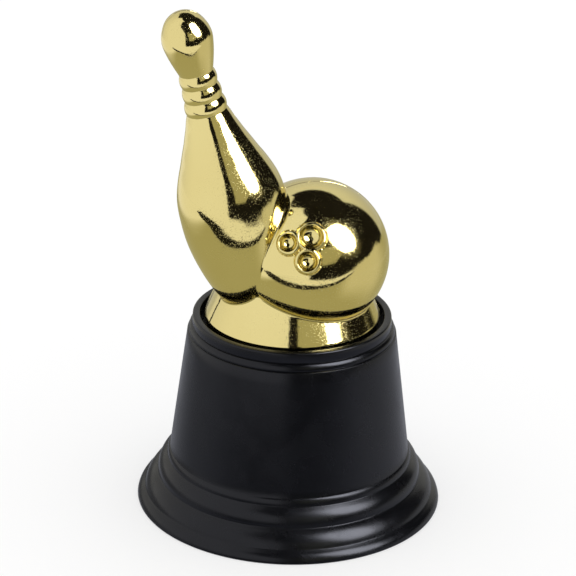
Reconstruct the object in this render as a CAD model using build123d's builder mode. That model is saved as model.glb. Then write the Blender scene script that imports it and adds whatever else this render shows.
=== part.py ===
from build123d import *
from math import cos, sin, radians
import os

# Bowling trophy: a two-shell figure (leaning pin, ball and plinth) bolted into the
# well of a hollow round base. Millimetres, +Z up. The origin is the centre of the
# underside, and the front of the trophy faces -Y.

# ---- bottom cover and felt -------------------------------------------------
FELT_T = 1.0
COVER_T = 2.0
COVER_TOP_Z = FELT_T + COVER_T
RECESS_R = 28.2              # recess in the base for cover and felt
COVER_R = RECESS_R - 0.1
FELT_R = COVER_R - 0.1
FELT_ROUND = 0.25
NOTCH_R = 2.0                # pry notch, centred just outside the cover's edge
NOTCH_OUT = 0.6
COVER_RING_R_OUT, COVER_RING_R_IN = 14.2, 13.0
SPOKE_COUNT = 6
SPOKE_LEN, SPOKE_T = 7.2, 1.0
SPOKE_PITCH_R = 9.6          # to the middle of each spoke
COVER_RIB_H = 1.4

# ---- cover screws ----------------------------------------------------------
SCREW_COUNT = 3
SCREW_START = 30             # angle of the first screw
SCREW_PITCH_R = 21.0
SCREW_R = 1.4
SCREW_HEAD_R = 2.70
SCREW_LEN = 9.0
SCREW_HOLE_R = 1.6           # through the cover
SINK_R, SINK_DEPTH = 2.8, 1.2
PILOT_R, PILOT_DEPTH = 1.45, 8.2
SCREW_BOSS_R = 3.0
SCREW_BOSS_TOP_Z = 12.0

# ---- base shell ------------------------------------------------------------
RIM_Z = 41.35                # top of the rim
RIM_R_IN = 18.81             # well radius
RIM_R_OUT = 20.31
WELL_FLOOR_Z = RIM_Z - 4.0   # the plinth stands here
FLOOR_T = 2.2
CEILING_Z = WELL_FLOOR_Z - FLOOR_T
GROOVE1_Z = 39.15            # fine groove under the rim band
GROOVE2_Z = 37.66            # fine groove under the second band
FOOT_R = 31.50               # widest radius of the foot
RIB_COUNT = 6
RIB_LEN, RIB_T = 20.8, 1.6
TUBE_R = 6.0
RIB_BOT_Z = 22.0             # ribs and centre tube stop the ballast here
RIB_OVERLAP = 0.5            # run of ribs and tube into the well floor
BOLT_HOLE_R = 2.75
BOLT_HOLE_DEPTH = 20

# base outline, (radius, z) from the top down
CONE_TOP = (21.38, 37.50)
CONE_BOT = (24.76, 11.35)
BAND_MID = (20.98, 38.48)    # bulge of the band between the grooves
GROOVE1 = [(20.44, GROOVE1_Z + 0.16), (20.26, GROOVE1_Z), (20.62, GROOVE1_Z - 0.12)]
GROOVE2 = [(21.12, GROOVE2_Z + 0.14), (20.95, GROOVE2_Z), CONE_TOP]
# narrow band and three foot steps: start, middle and end of each rounded face
FOOT_ARCS = [
    ((24.96, 11.18), (25.24, 10.50), (25.36, 9.78)),
    ((25.60, 9.56), (26.85, 7.97), (27.28, 6.00)),
    ((27.52, 5.80), (29.03, 4.37), (29.92, 2.50)),
    ((30.16, 2.32), (31.05, 1.45), (FOOT_R, 0.30)),
]
UNDERSIDE_EDGE = (31.24, 0.0)
# inside of the wall, (radius, z) from the recess up
INNER_WALL = [(27.0, COVER_TOP_Z), (24.9, 6.2), (23.2, 9.2), (22.65, 11.2), (19.45, CEILING_Z)]

# ---- figure, in its own frame ----------------------------------------------
FIG_TURN = 11.75             # turn of the figure about Z on the base
PARTING_Y = -2.825           # plane between the half shells
FIG_WALL = 2.0

PIN_TILT = 15.06             # lean of the pin to the left
PIN_X, PIN_Z = -12.51, 64.50     # centre of the pin's belly
# pin outline, (height along the axis from the belly, radius) from the top down
HEAD = [
    (44.58, 0.0), (43.30, 3.15), (41.77, 4.224), (40.24, 4.841), (38.72, 5.039),
    (37.19, 4.858), (35.66, 4.542), (34.13, 4.134), (32.81, 3.743), (31.74, 3.40),
]
NECK = [HEAD[-1], (28.95, 3.465), (26.10, 3.712), (23.42, 4.03)]
NECK_BULGE = 0.34            # height of the rings between the neck points
BODY = [
    NECK[-1], (22.21, 4.52), (20.88, 4.95), (19.36, 5.51), (17.32, 6.289),
    (15.28, 7.156), (13.24, 7.985), (11.21, 8.868), (9.17, 9.663), (7.13, 10.30),
    (5.09, 10.70), (2.54, 10.89), (0.0, 10.949), (-2.55, 10.86), (-5.10, 10.55),
    (-7.64, 10.08), (-10.19, 9.47), (-13.25, 8.52), (-16.0, 7.4), (-19.0, 6.0),
]

BALL_R = 15.43
BALL_X, BALL_Y, BALL_Z = 3.21, -3.45, 55.50
BALL_WALL = 2.8
# finger dimples: azimuth from the trophy's front, elevation, lip radius
DIMPLES = [(-21.0, 29.1, 2.48), (-2.0, 35.0, 3.02), (-3.8, 17.3, 2.60)]
DIMPLE_DEPTH = 1.25          # from the top of the lip
LIP_W = 0.42
LIP_H, LIP_TAPER = 0.38, 28
LIP_SUNK = 0.12              # start of the lip below the plane of its circle

PLINTH_R = 17.95             # at the lip
PLINTH_LIP_Z = RIM_Z + 0.2
PLINTH_TOP_Z = 49.6
PLINTH_SLOPE = 0.445         # radius lost per unit of height
PLINTH_TOP_R = PLINTH_R - PLINTH_SLOPE * (PLINTH_TOP_Z - PLINTH_LIP_Z)
SKIRT_R = PLINTH_R - 0.35    # part of the plinth inside the well
WEB_T = 2.0                  # plinth floor

# locating pegs between the half shells: x and z in the parting plane
PEGS = [(9.8, 60.5), (-14.3, 71.0), (10.4, 48.6)]
PEG_R, PEG_LEN = 1.5, 2.6
SOCKET_R, SOCKET_DEPTH = PEG_R + 0.08, PEG_LEN + 0.3
PEG_BOSS_R = 3.0
PEG_BOSS_REACH = 14          # to each side of the parting plane

# ---- bolt and the stack under the ribs -------------------------------------
HEX_AF = 8.0                 # across flats, bolt head and nut
HEX_CORNER_R = HEX_AF / 2 / cos(radians(30))
BOLT_R = 2.45                # M5 thread envelope
BOLT_HEAD_H = 3.5
BOLT_LEN = 35.0
BOLT_TIP_CHAMFER = 0.6
BOLT_SEAT_Z = WELL_FLOOR_Z + WEB_T   # underside of the bolt head
BOLT_BOSS_R = 7.6
BOLT_BOSS_COVER = 1.6        # added to the head height
POCKET_GAP = 0.1
SHANK_GAP = 0.15
BALLAST_R, BALLAST_T = 17.5, 8.0
BALLAST_CHAMFER = 0.8
WASHER_R, WASHER_T = 5.0, 1.0
LOCK_R, LOCK_T = 4.6, 1.2
SPLIT_X = 3.6                # middle of the lock washer's split
SPLIT_LEN, SPLIT_W, SPLIT_ANGLE = 3.6, 0.6, 18
NUT_H = 4.0
NUT_BEVEL = 0.42             # height of the turned-off corners
# each piece hangs below the one before
WASHER_Z = RIB_BOT_Z - BALLAST_T
LOCK_Z = WASHER_Z - WASHER_T
NUT_Z = LOCK_Z - LOCK_T


# ---- reference planes ------------------------------------------------------
def from_figure(x, y, z):
    """A point or direction of the figure's frame in the trophy's frame."""
    c, s = cos(radians(FIG_TURN)), sin(radians(FIG_TURN))
    return Vector(x * c - y * s, x * s + y * c, z)


def figure_level(z):
    """Horizontal plane turned with the figure."""
    return Plane(origin=(0, 0, z), x_dir=from_figure(1, 0, 0), z_dir=(0, 0, 1))


FIG_FRONT = from_figure(0, -1, 0)
# normal points to the front; plane coordinates are the figure's x and z
PARTING = Plane(
    origin=from_figure(0, PARTING_Y, 0), x_dir=from_figure(1, 0, 0), z_dir=FIG_FRONT
)
TILT_COS, TILT_SIN = cos(radians(PIN_TILT)), sin(radians(PIN_TILT))
PIN_CENTRE = from_figure(PIN_X, PARTING_Y, PIN_Z)
PIN_SECTION = Plane(
    origin=PIN_CENTRE, x_dir=from_figure(TILT_COS, 0, TILT_SIN), z_dir=FIG_FRONT
)
PIN_AXIS = Axis(PIN_CENTRE, from_figure(-TILT_SIN, 0, TILT_COS))
BALL_CENTRE = from_figure(BALL_X, BALL_Y, BALL_Z)


def ball_ray(azimuth, elevation, distance):
    """The point at a distance from the ball's centre, and the direction to it."""
    az, el = radians(azimuth), radians(elevation)
    direction = Vector(sin(az) * cos(el), -cos(az) * cos(el), sin(el))
    return BALL_CENTRE + direction * distance, direction


# ---- figure ----------------------------------------------------------------
def outer_form():
    """Closed outer form of pin, ball and plinth."""
    with BuildPart() as form:
        # pin: head, neck rings and body as one turned outline
        with BuildSketch(PIN_SECTION):
            with BuildLine():
                Spline(*[(r, t) for t, r in HEAD], tangents=[(1, 0), (-0.30, -1)])
                for (t0, r0), (t1, r1) in zip(NECK[:-1], NECK[1:]):
                    middle = ((r0 + r1) / 2 + NECK_BULGE, (t0 + t1) / 2)
                    ThreePointArc((r0, t0), middle, (r1, t1))
                Spline(*[(r, t) for t, r in BODY])
                bottom_t, bottom_r = BODY[-1]
                Polyline((bottom_r, bottom_t), (0, bottom_t), (0, HEAD[0][0]))
            make_face()
        revolve(axis=PIN_AXIS)
        with Locations(BALL_CENTRE):
            Sphere(BALL_R)
        # plinth: skirt in the well, small lip, cone, rounded shoulder and low dome
        shoulder = (PLINTH_TOP_R, PLINTH_TOP_Z)
        shoulder_mid = (PLINTH_TOP_R - 0.75, PLINTH_TOP_Z + 0.72)
        dome_edge = (PLINTH_TOP_R - 1.75, PLINTH_TOP_Z + 1.0)
        dome_mid = (PLINTH_TOP_R / 2, PLINTH_TOP_Z + 1.5)
        dome_top = (0, PLINTH_TOP_Z + 1.7)
        with BuildSketch(Plane.XZ):
            with BuildLine():
                Polyline(
                    (0, WELL_FLOOR_Z), (SKIRT_R, WELL_FLOOR_Z), (SKIRT_R, PLINTH_LIP_Z - 0.75),
                    (PLINTH_R, PLINTH_LIP_Z - 0.45), (PLINTH_R, PLINTH_LIP_Z), shoulder,
                )
                ThreePointArc(shoulder, shoulder_mid, dome_edge)
                ThreePointArc(dome_edge, dome_mid, dome_top)
                Polyline(dome_top, (0, WELL_FLOOR_Z))
            make_face()
        revolve(axis=Axis.Z)
        # raised lips of the dimples, set into the ball's surface
        for azimuth, elevation, lip_r in DIMPLES:
            distance = BALL_R * cos(lip_r / BALL_R) - LIP_SUNK
            point, outward = ball_ray(azimuth, elevation, distance)
            with BuildSketch(Plane(origin=point, z_dir=outward)):
                Circle(lip_r - LIP_W * 0.2)
            extrude(amount=LIP_H, taper=LIP_TAPER)
        # spherical bowl of each dimple, from its mouth radius and depth
        for azimuth, elevation, lip_r in DIMPLES:
            mouth_r = lip_r - LIP_W * 1.15
            bowl_r = (mouth_r * mouth_r + DIMPLE_DEPTH * DIMPLE_DEPTH) / (2 * DIMPLE_DEPTH)
            lip_top = BALL_R * cos(lip_r / BALL_R) + LIP_H - LIP_SUNK
            point, _ = ball_ray(azimuth, elevation, lip_top + bowl_r - DIMPLE_DEPTH)
            with Locations(point):
                Sphere(bowl_r, mode=Mode.SUBTRACT)
    return form.part


def peg_bosses(outer):
    """Bosses for the locating pegs, trimmed to the outer form."""
    with BuildPart() as bosses:
        with BuildSketch(PARTING.offset(-PEG_BOSS_REACH)):
            with Locations(*PEGS):
                Circle(PEG_BOSS_R)
        extrude(amount=2 * PEG_BOSS_REACH)
        add(outer, mode=Mode.INTERSECT)
    return bosses.part


def hollow():
    """The cavity: pin, ball and plinth run into one another."""
    with BuildPart() as cavity:
        # the pin is hollow below the neck only
        top = (0.01, BODY[1][0])
        wall = [(r - FIG_WALL, t) for t, r in BODY[2:]]
        with BuildSketch(PIN_SECTION):
            with BuildLine():
                Spline(top, *wall)
                Polyline(wall[-1], (0, wall[-1][1]), (0, top[1]), top)
            make_face()
        revolve(axis=PIN_AXIS)
        with Locations(BALL_CENTRE):
            Sphere(BALL_R - BALL_WALL)
        # plinth
        floor_z, top_z = WELL_FLOOR_Z + WEB_T, PLINTH_TOP_Z - FIG_WALL
        skirt_r = SKIRT_R - FIG_WALL
        top_r = PLINTH_R - FIG_WALL - 0.2 - PLINTH_SLOPE * (top_z - PLINTH_LIP_Z)
        with BuildSketch(Plane.XZ):
            with BuildLine():
                Polyline(
                    (0, floor_z), (skirt_r, floor_z), (skirt_r, PLINTH_LIP_Z),
                    (top_r, top_z), (0, top_z), close=True,
                )
            make_face()
        revolve(axis=Axis.Z)
    return cavity.part


def figure_body():
    """Whole hollow figure with its inner bosses, before it is parted."""
    outer = outer_form()
    cavity = hollow()
    bosses = peg_bosses(outer)
    with BuildPart() as body:
        add(outer)
        add(cavity, mode=Mode.SUBTRACT)
        add(bosses)
        # boss that traps the bolt head, sunk slightly into the plinth floor
        with BuildSketch(Plane.XY.offset(BOLT_SEAT_Z - 0.01)):
            Circle(BOLT_BOSS_R)
        extrude(amount=BOLT_HEAD_H + BOLT_BOSS_COVER)
        # hexagonal pocket, open to the parting plane so that the bolt drops in
        half_width = HEX_AF / 2 + POCKET_GAP
        with BuildSketch(figure_level(BOLT_SEAT_Z)):
            RegularPolygon(half_width / cos(radians(30)), 6, rotation=30)
            with Locations((0, PARTING_Y / 2)):
                Rectangle(2 * half_width, -PARTING_Y + 0.4)
        extrude(amount=BOLT_HEAD_H + POCKET_GAP, mode=Mode.SUBTRACT)
        # clearance for the shank, slotted the same way
        shank_r = BOLT_R + SHANK_GAP
        with BuildSketch(figure_level(WELL_FLOOR_Z - 0.5)):
            Circle(shank_r)
            with Locations((0, PARTING_Y / 2)):
                Rectangle(2 * shank_r, -PARTING_Y)
        extrude(amount=WEB_T + 1.0, mode=Mode.SUBTRACT)
    return body.part


def front_shell(body):
    """Front half, with the locating pegs pointing back."""
    with BuildPart() as shell:
        add(body)
        split(bisect_by=PARTING, keep=Keep.TOP)
        with BuildSketch(PARTING):
            with Locations(*PEGS):
                Circle(PEG_R)
        extrude(amount=-PEG_LEN)
    return shell.part


def rear_shell(body):
    """Rear half, with the sockets for the pegs."""
    with BuildPart() as shell:
        add(body)
        split(bisect_by=PARTING, keep=Keep.BOTTOM)
        with BuildSketch(PARTING):
            with Locations(*PEGS):
                Circle(SOCKET_R)
        extrude(amount=-SOCKET_DEPTH, mode=Mode.SUBTRACT)
    return shell.part


# ---- base ------------------------------------------------------------------
def base_shell():
    """Turned hollow base with ribs, centre tube and screw bosses."""
    # ends of the rim's flat top, between its two rounded edges
    flat_in, flat_out = (RIM_R_IN + 0.25, RIM_Z), (RIM_R_OUT - 0.4, RIM_Z)
    edge_in, edge_out = (RIM_R_IN, RIM_Z - 0.25), (RIM_R_OUT, RIM_Z - 0.4)
    with BuildPart() as base:
        with BuildSketch(Plane.XZ):
            with BuildLine():
                # rim, its two bands and the cone
                Polyline((RIM_R_IN, WELL_FLOOR_Z), edge_in)
                ThreePointArc(edge_in, (RIM_R_IN + 0.075, RIM_Z - 0.075), flat_in)
                Line(flat_in, flat_out)
                ThreePointArc(flat_out, (RIM_R_OUT - 0.117, RIM_Z - 0.117), edge_out)
                Polyline(edge_out, *GROOVE1)
                ThreePointArc(GROOVE1[-1], BAND_MID, GROOVE2[0])
                Polyline(*GROOVE2)
                Line(CONE_TOP, CONE_BOT)
                # narrow band, then the steps of the foot
                corner = CONE_BOT
                for start, middle, end in FOOT_ARCS:
                    Line(corner, start)
                    ThreePointArc(start, middle, end)
                    corner = end
                ThreePointArc(corner, (31.44, 0.09), UNDERSIDE_EDGE)
                # underside, cover recess, inside of the wall and well floor
                Polyline(
                    UNDERSIDE_EDGE, (RECESS_R, 0.0), (RECESS_R, COVER_TOP_Z), *INNER_WALL,
                    (0, CEILING_Z), (0, WELL_FLOOR_Z), (RIM_R_IN, WELL_FLOOR_Z),
                )
            make_face()
        revolve(axis=Axis.Z)
        # centre tube under the well floor, and radial ribs
        with BuildSketch(Plane.XY.offset(RIB_BOT_Z)):
            Circle(TUBE_R)
            with PolarLocations(0, RIB_COUNT):
                with Locations((RIB_LEN / 2, 0)):
                    Rectangle(RIB_LEN, RIB_T)
        extrude(amount=CEILING_Z - RIB_BOT_Z + RIB_OVERLAP)
        # screw bosses for the bottom cover, and their pilot holes
        with BuildSketch(Plane.XY.offset(COVER_TOP_Z)):
            with PolarLocations(SCREW_PITCH_R, SCREW_COUNT, start_angle=SCREW_START):
                Circle(SCREW_BOSS_R)
        extrude(amount=SCREW_BOSS_TOP_Z - COVER_TOP_Z)
        with BuildSketch(Plane.XY.offset(COVER_TOP_Z)):
            with PolarLocations(SCREW_PITCH_R, SCREW_COUNT, start_angle=SCREW_START):
                Circle(PILOT_R)
        extrude(amount=PILOT_DEPTH, mode=Mode.SUBTRACT)
        with Locations((0, 0, WELL_FLOOR_Z)):
            Hole(BOLT_HOLE_R, depth=BOLT_HOLE_DEPTH)
    return base.part


# ---- bolt, ballast, washers and nut on the centre line ---------------------
def figure_bolt():
    """Hexagon bolt, head up, turned with the figure."""
    with BuildPart() as bolt:
        with BuildSketch(figure_level(BOLT_SEAT_Z)):
            RegularPolygon(HEX_CORNER_R, 6, rotation=30)
        extrude(amount=BOLT_HEAD_H)
        with BuildSketch(Plane.XY.offset(BOLT_SEAT_Z)):
            Circle(BOLT_R)
        extrude(amount=-BOLT_LEN)
        tip = bolt.edges().filter_by(GeomType.CIRCLE).group_by(Axis.Z)[0]
        chamfer(tip, length=BOLT_TIP_CHAMFER)
    return bolt.part


def ballast_weight():
    """Bored disc under the ribs, chamfered at both outer edges."""
    with BuildPart() as ballast:
        with BuildSketch(Plane.XY.offset(RIB_BOT_Z)):
            Circle(BALLAST_R)
            Circle(BOLT_R + 0.4, mode=Mode.SUBTRACT)
        extrude(amount=-BALLAST_T)
        rims = ballast.edges().filter_by(GeomType.CIRCLE).sort_by(SortBy.RADIUS)[-2:]
        chamfer(rims, length=BALLAST_CHAMFER)
    return ballast.part


def flat_washer():
    with BuildPart() as washer:
        with BuildSketch(Plane.XY.offset(WASHER_Z)):
            Circle(WASHER_R)
            Circle(BOLT_R + 0.2, mode=Mode.SUBTRACT)
        extrude(amount=-WASHER_T)
    return washer.part


def lock_washer():
    """Ring with a slanted split."""
    with BuildPart() as washer:
        with BuildSketch(Plane.XY.offset(LOCK_Z)):
            Circle(LOCK_R)
            Circle(BOLT_R + 0.1, mode=Mode.SUBTRACT)
            with Locations((SPLIT_X, 0)):
                Rectangle(SPLIT_LEN, SPLIT_W, rotation=SPLIT_ANGLE, mode=Mode.SUBTRACT)
        extrude(amount=-LOCK_T)
    return washer.part


def hex_nut():
    face_r, side_r = HEX_AF / 2 - 0.1, HEX_CORNER_R + 0.02
    bottom_z = NUT_Z - NUT_H
    with BuildPart() as nut:
        with BuildSketch(Plane.XY.offset(NUT_Z)):
            RegularPolygon(HEX_CORNER_R, 6)
        extrude(amount=-NUT_H)
        # corners turned off at both faces
        with BuildSketch(Plane.XZ):
            with BuildLine():
                Polyline(
                    (0, NUT_Z), (face_r, NUT_Z), (side_r, NUT_Z - NUT_BEVEL),
                    (side_r, bottom_z + NUT_BEVEL), (face_r, bottom_z), (0, bottom_z),
                    close=True,
                )
            make_face()
        revolve(axis=Axis.Z, mode=Mode.INTERSECT)
        with Locations((0, 0, NUT_Z)):
            CounterSinkHole(BOLT_R + 0.05, BOLT_R + 0.4, depth=NUT_H)
    return nut.part


# ---- bottom cover, its screws and the felt pad -----------------------------
def bottom_cover():
    with BuildPart() as cover:
        with BuildSketch(Plane.XY.offset(FELT_T)):
            Circle(COVER_R)
            # pry notch at the front edge
            with Locations((0, -COVER_R - NOTCH_OUT)):
                Circle(NOTCH_R, mode=Mode.SUBTRACT)
        extrude(amount=COVER_T)
        # stiffening ring and spokes on the inner side
        with BuildSketch(Plane.XY.offset(COVER_TOP_Z)):
            Circle(COVER_RING_R_OUT)
            Circle(COVER_RING_R_IN, mode=Mode.SUBTRACT)
            with PolarLocations(SPOKE_PITCH_R, SPOKE_COUNT):
                Rectangle(SPOKE_LEN, SPOKE_T)
        extrude(amount=COVER_RIB_H)
        # screw holes, then their countersinks
        with BuildSketch(Plane.XY.offset(FELT_T)):
            with PolarLocations(SCREW_PITCH_R, SCREW_COUNT, start_angle=SCREW_START):
                Circle(SCREW_HOLE_R)
        extrude(amount=COVER_T, mode=Mode.SUBTRACT)
        with BuildSketch(Plane.XY.offset(FELT_T)):
            with PolarLocations(SCREW_PITCH_R, SCREW_COUNT, start_angle=SCREW_START):
                Circle(SINK_R)
        extrude(amount=SINK_DEPTH, taper=45, mode=Mode.SUBTRACT)
    return cover.part


def cover_screws():
    """Countersunk screws, heads down, each with a round recess in the head."""
    # half section, (radius, height above the felt)
    outline = [
        (0, 0.9), (0.55, 0.9), (0.62, 0.03),
        (SCREW_HEAD_R - 0.08, 0.03), (SCREW_HEAD_R - 0.03, 0.10),
        (SCREW_R, SCREW_HEAD_R - SCREW_R + 0.05), (SCREW_R, SCREW_LEN - 1.6),
        (0.25, SCREW_LEN), (0, SCREW_LEN),
    ]
    with BuildPart() as screws:
        for k in range(SCREW_COUNT):
            angle = radians(SCREW_START + 360 / SCREW_COUNT * k)
            x, y = SCREW_PITCH_R * cos(angle), SCREW_PITCH_R * sin(angle)
            with BuildSketch(Plane(origin=(x, y, FELT_T), x_dir=(1, 0, 0), z_dir=(0, -1, 0))):
                with BuildLine():
                    Polyline(*outline, close=True)
                make_face()
            revolve(axis=Axis((x, y, 0), (0, 0, 1)))
    return screws.part


def felt_pad():
    """Disc with a rounded lower edge."""
    with BuildPart() as felt:
        with BuildSketch(Plane.XY):
            Circle(FELT_R)
        extrude(amount=FELT_T)
        fillet(felt.edges().group_by(Axis.Z)[0], radius=FELT_ROUND)
    return felt.part


# ---- build and export ------------------------------------------------------
os.makedirs("parts", exist_ok=True)
figure = figure_body()
PIECES = {
    "figure_front_shell": front_shell(figure),
    "figure_rear_shell": rear_shell(figure),
    "base_shell": base_shell(),
    "figure_bolt": figure_bolt(),
    "ballast_weight": ballast_weight(),
    "flat_washer": flat_washer(),
    "lock_washer": lock_washer(),
    "hex_nut": hex_nut(),
    "bottom_cover": bottom_cover(),
    "cover_screws": cover_screws(),
    "felt_pad": felt_pad(),
}
for name, piece in PIECES.items():
    piece.label = name
    export_step(piece, f"parts/{name}.step")
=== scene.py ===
import bpy, bmesh, math
import numpy as np
from mathutils import Matrix, Vector


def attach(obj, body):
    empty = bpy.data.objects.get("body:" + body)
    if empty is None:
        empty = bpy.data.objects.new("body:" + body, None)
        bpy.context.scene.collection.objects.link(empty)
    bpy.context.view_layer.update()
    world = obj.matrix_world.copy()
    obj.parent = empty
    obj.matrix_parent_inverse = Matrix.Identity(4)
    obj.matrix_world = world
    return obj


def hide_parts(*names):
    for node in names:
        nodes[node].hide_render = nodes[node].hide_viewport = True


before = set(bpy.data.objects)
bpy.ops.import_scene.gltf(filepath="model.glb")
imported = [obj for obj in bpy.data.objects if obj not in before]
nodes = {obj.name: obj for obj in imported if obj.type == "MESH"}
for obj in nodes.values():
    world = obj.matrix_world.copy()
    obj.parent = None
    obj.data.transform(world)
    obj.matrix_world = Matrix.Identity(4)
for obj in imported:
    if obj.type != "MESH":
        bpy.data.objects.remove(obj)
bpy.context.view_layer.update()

MM = 0.001
rad, cos, sin = math.radians, math.cos, math.sin

# ---------------------------------------------------------------------------
# Dimensions shared with the CAD model, in millimetres
# ---------------------------------------------------------------------------
FIG_TURN = 11.75
PARTING_Y = -2.825
PIN_TILT = 15.06
PIN_C = np.array([-12.51, PARTING_Y, 64.50])
BALL_C = np.array([3.21, -3.45, 55.50])
BALL_R = 15.43
PLINTH_R, PLINTH_LIP_Z, PLINTH_SLOPE, PLINTH_TOP_Z = 17.95, 41.55, 0.445, 49.6
WELL_FLOOR_Z = 37.35
FIG_WALL, WEB_T = 2.0, 2.0
HEAD = [(44.58, 0.0), (43.30, 3.15), (41.77, 4.224), (40.24, 4.841), (38.72, 5.039),
        (37.19, 4.858), (35.66, 4.542), (34.13, 4.134), (32.81, 3.743), (31.74, 3.40)]
NECK = [(31.74, 3.40), (28.95, 3.465), (26.10, 3.712), (23.42, 4.03)]
NECK_BULGE = 0.34
BODY = [(23.42, 4.03), (22.21, 4.52), (20.88, 4.95), (19.36, 5.51), (17.32, 6.289), (15.28, 7.156),
        (13.24, 7.985), (11.21, 8.868), (9.17, 9.663), (7.13, 10.30), (5.09, 10.70),
        (2.54, 10.89), (0.0, 10.949), (-2.55, 10.86), (-5.10, 10.55), (-7.64, 10.08),
        (-10.19, 9.47), (-13.25, 8.52), (-16.0, 7.4), (-19.0, 6.0)]
DIMPLES = [(-21.0, 29.1, 2.48), (-2.0, 35.0, 3.02), (-3.8, 17.3, 2.60)]
PEGS = [(9.8, 60.5), (-14.3, 71.0), (10.4, 48.6)]
PEG_R, PEG_LEN, PEG_CLEAR, PEG_BOSS_R = 1.5, 2.6, 0.08, 3.0
BOLT_AF, BOLT_HEAD_H, BOLT_R = 8.0, 3.5, 2.45

VOXEL = 0.27
TURN = np.array([[cos(rad(FIG_TURN)), -sin(rad(FIG_TURN)), 0],
                 [sin(rad(FIG_TURN)), cos(rad(FIG_TURN)), 0],
                 [0, 0, 1.0]])                      # figure's frame to trophy's frame


# ---------------------------------------------------------------------------
# Smooth curves
# ---------------------------------------------------------------------------
def spline(points, t0=None, t1=None, n=4000):
    """Cubic spline through 2-D points, by chord length, with optional end directions."""
    p = np.array(points, float)
    u = np.concatenate([[0], np.cumsum(np.hypot(*np.diff(p, axis=0).T))])
    k = len(p)
    a, b = np.zeros((k, k)), np.zeros((k, 2))
    h = np.diff(u)
    for i in range(1, k - 1):
        a[i, i - 1], a[i, i], a[i, i + 1] = h[i], 2 * (h[i - 1] + h[i]), h[i - 1]
        b[i] = 3 * (h[i] * (p[i] - p[i - 1]) / h[i - 1] + h[i - 1] * (p[i + 1] - p[i]) / h[i])
    if t0 is None:
        a[0, 0], a[0, 1], b[0] = 2, 1, 3 * (p[1] - p[0]) / h[0]
    else:
        a[0, 0], b[0] = 1, np.array(t0, float) / np.hypot(*t0)
    if t1 is None:
        a[-1, -1], a[-1, -2], b[-1] = 2, 1, 3 * (p[-1] - p[-2]) / h[-1]
    else:
        a[-1, -1], b[-1] = 1, np.array(t1, float) / np.hypot(*t1)
    m = np.linalg.solve(a, b)
    s = np.linspace(0, u[-1], n)
    i = np.clip(np.searchsorted(u, s, side="right") - 1, 0, k - 2)
    f = ((s - u[i]) / h[i])[:, None]
    hh = h[i][:, None]
    return ((2 * f ** 3 - 3 * f ** 2 + 1) * p[i] + (f ** 3 - 2 * f ** 2 + f) * hh * m[i]
            + (-2 * f ** 3 + 3 * f ** 2) * p[i + 1] + (f ** 3 - f ** 2) * hh * m[i + 1])


def arc3(a, m, b, n=24):
    """Points of the circular arc from a through m to b."""
    (ax, ay), (mx, my), (bx, by) = a, m, b
    d = 2 * (ax * (my - by) + mx * (by - ay) + bx * (ay - my))
    ux = ((ax * ax + ay * ay) * (my - by) + (mx * mx + my * my) * (by - ay) + (bx * bx + by * by) * (ay - my)) / d
    uy = ((ax * ax + ay * ay) * (bx - mx) + (mx * mx + my * my) * (ax - bx) + (bx * bx + by * by) * (mx - ax)) / d
    r = math.hypot(ax - ux, ay - uy)
    t0, tm, t1 = (math.atan2(y - uy, x - ux) for x, y in (a, m, b))
    while tm - t0 > math.pi: tm -= 2 * math.pi
    while tm - t0 < -math.pi: tm += 2 * math.pi
    while t1 - tm > math.pi: t1 -= 2 * math.pi
    while t1 - tm < -math.pi: t1 += 2 * math.pi
    t = np.linspace(t0, t1, n)
    return np.stack([ux + r * np.cos(t), uy + r * np.sin(t)], 1)


def gauss(y, sigma):
    """y, evenly spaced, smoothed by a Gaussian of sigma samples; ends are mirrored about their value."""
    n = int(4 * sigma) + 1
    k = np.exp(-0.5 * (np.arange(-n, n + 1) / sigma) ** 2)
    k /= k.sum()
    pad = np.concatenate([2 * y[0] - y[n:0:-1], y, 2 * y[-1] - y[-2:-n - 2:-1]])
    return np.convolve(pad, k, "valid")


class Table:
    """A smooth function of one variable, from samples at even steps, with its slope."""

    def __init__(self, x0, dx, y):
        self.x0, self.dx, self.y = x0, dx, np.asarray(y, float)
        self.m = np.gradient(self.y)

    def __call__(self, x):
        u = (x - self.x0) / self.dx
        i = np.clip(np.floor(u).astype(int), 0, len(self.y) - 2)
        f = u - i
        y0, y1, m0, m1 = self.y[i], self.y[i + 1], self.m[i], self.m[i + 1]
        inside = (f >= 0) & (f <= 1)
        f = np.clip(f, -50, 50)
        v = np.where(inside, (2 * f ** 3 - 3 * f ** 2 + 1) * y0 + (f ** 3 - 2 * f ** 2 + f) * m0
                     + (-2 * f ** 3 + 3 * f ** 2) * y1 + (f ** 3 - f ** 2) * m1,
                     np.where(f < 0, y0 + f * m0, y1 + (f - 1) * m1))
        d = np.where(inside, (6 * f ** 2 - 6 * f) * y0 + (3 * f ** 2 - 4 * f + 1) * m0
                     + (-6 * f ** 2 + 6 * f) * y1 + (3 * f ** 2 - 2 * f) * m1,
                     np.where(f < 0, m0, m1))
        return v, d / self.dx


# squared radius of the pin along its axis
STEP = 0.02
head = spline([(r, t) for t, r in HEAD], (1, 0), (-0.30, -1))
rings = [arc3((r0, t0), ((r0 + r1) / 2 + NECK_BULGE, (t0 + t1) / 2), (r1, t1))
         for (t0, r0), (t1, r1) in zip(NECK[:-1], NECK[1:])]
body = spline([(r, t) for t, r in BODY])
outline = np.concatenate([head] + rings + [body])[::-1]
ts = np.arange(-19.0, 44.58 + 1e-9, STEP)
r2 = np.interp(ts, outline[:, 1], outline[:, 0] ** 2)
PIN_R2 = Table(-19.0, STEP, gauss(r2, 4.5))

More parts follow.
